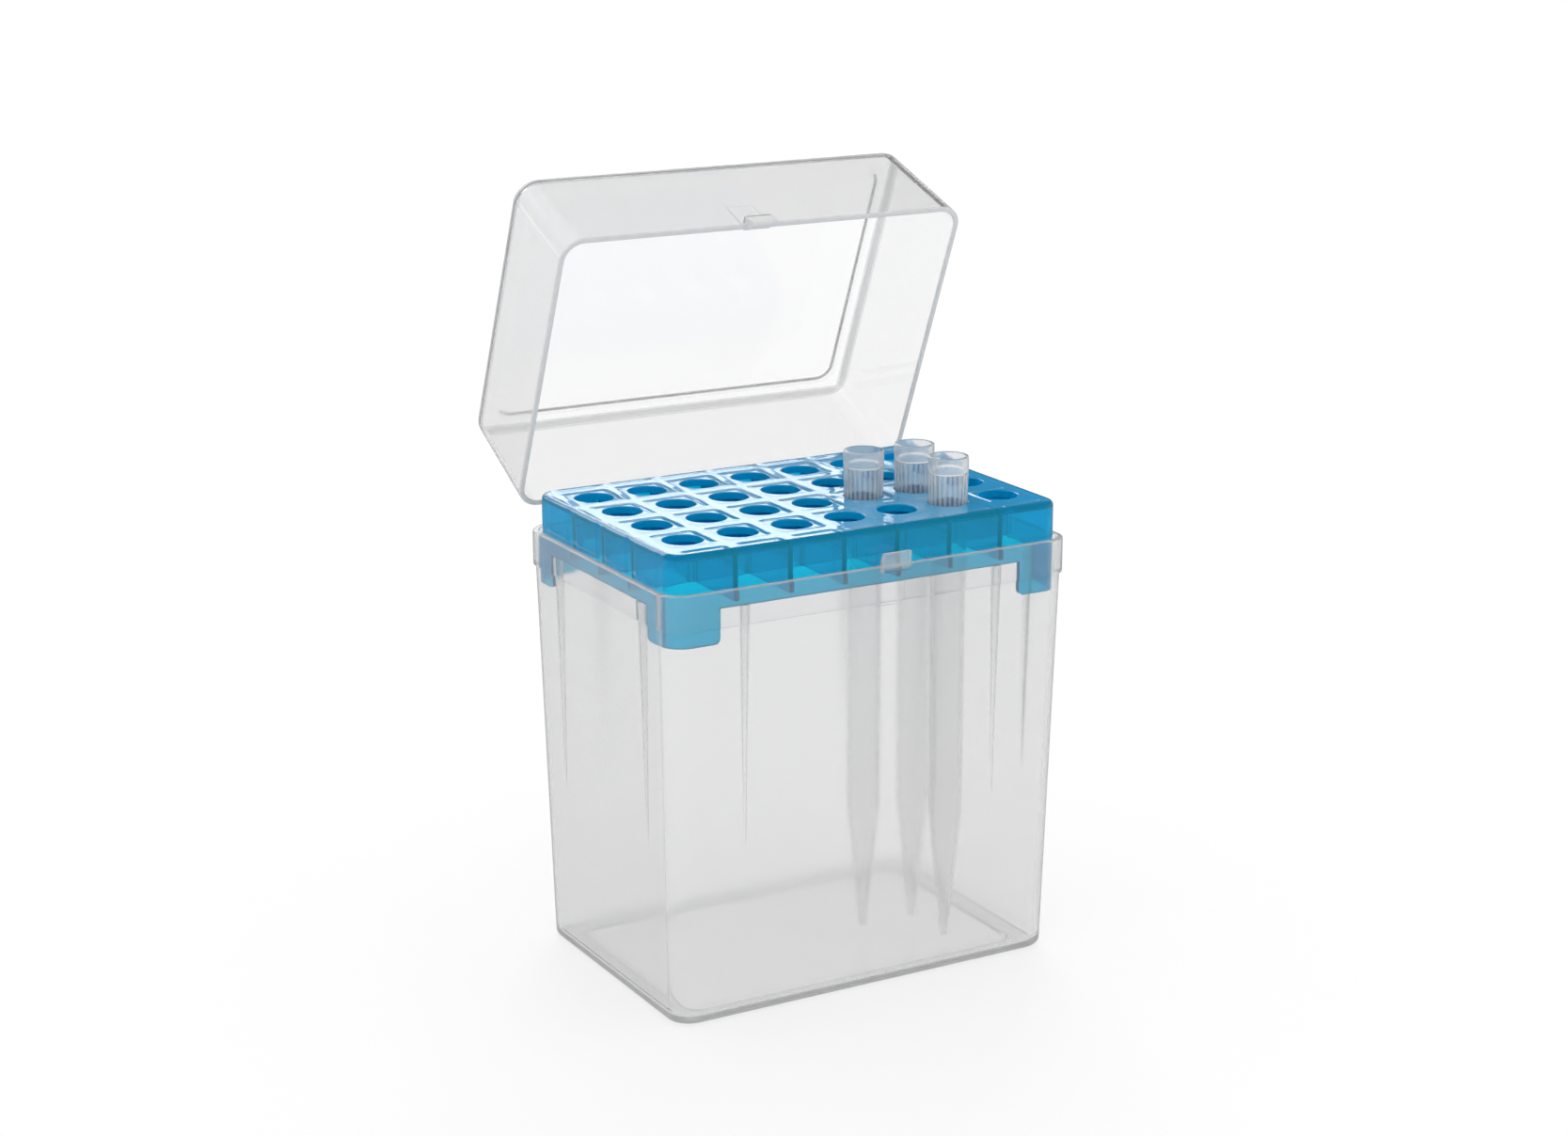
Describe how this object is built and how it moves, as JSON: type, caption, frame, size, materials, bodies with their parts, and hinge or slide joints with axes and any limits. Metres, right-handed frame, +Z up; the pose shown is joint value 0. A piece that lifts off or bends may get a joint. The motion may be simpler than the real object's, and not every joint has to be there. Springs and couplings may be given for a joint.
{
  "type": "box of pipette tips",
  "caption": "Tall clear plastic box with a hinged lid, shown open, a blue rack plate in its mouth and long pipette tips standing in some of the plate's holes.",
  "frame": {"origin": "centre of the underside of the foot that the box stands on", "axes": "+Z up, +X along the long side to the right as seen from the front, +Y from the front, where the latch tabs are, to the hinge at the rear"},
  "size_m": [0.1272, 0.1271, 0.2201],
  "materials": {
    "base_plastic": "natural polypropylene, cloudy and translucent, lightly glossy outside",
    "lid_plastic": "natural polypropylene, clearer than the base, glossy",
    "rack_plastic": "bright blue polypropylene, glossy and a little translucent",
    "tip_plastic": "natural polypropylene, clear and glossy"
  },
  "bodies": {
    "base": {"base_box": "base_plastic", "tip_rack": "rack_plastic", "tip_1": "tip_plastic", "tip_2": "tip_plastic", "tip_3": "tip_plastic"},
    "lid": {"lid": "lid_plastic"}
  },
  "joints": [
    {"name": "lid_hinge", "type": "hinge", "parent": "base", "child": "lid", "pos_m": [0, 0.0497, 0.121], "axis": [1, 0, 0], "range_deg": [0, 66.8]}
  ]
}
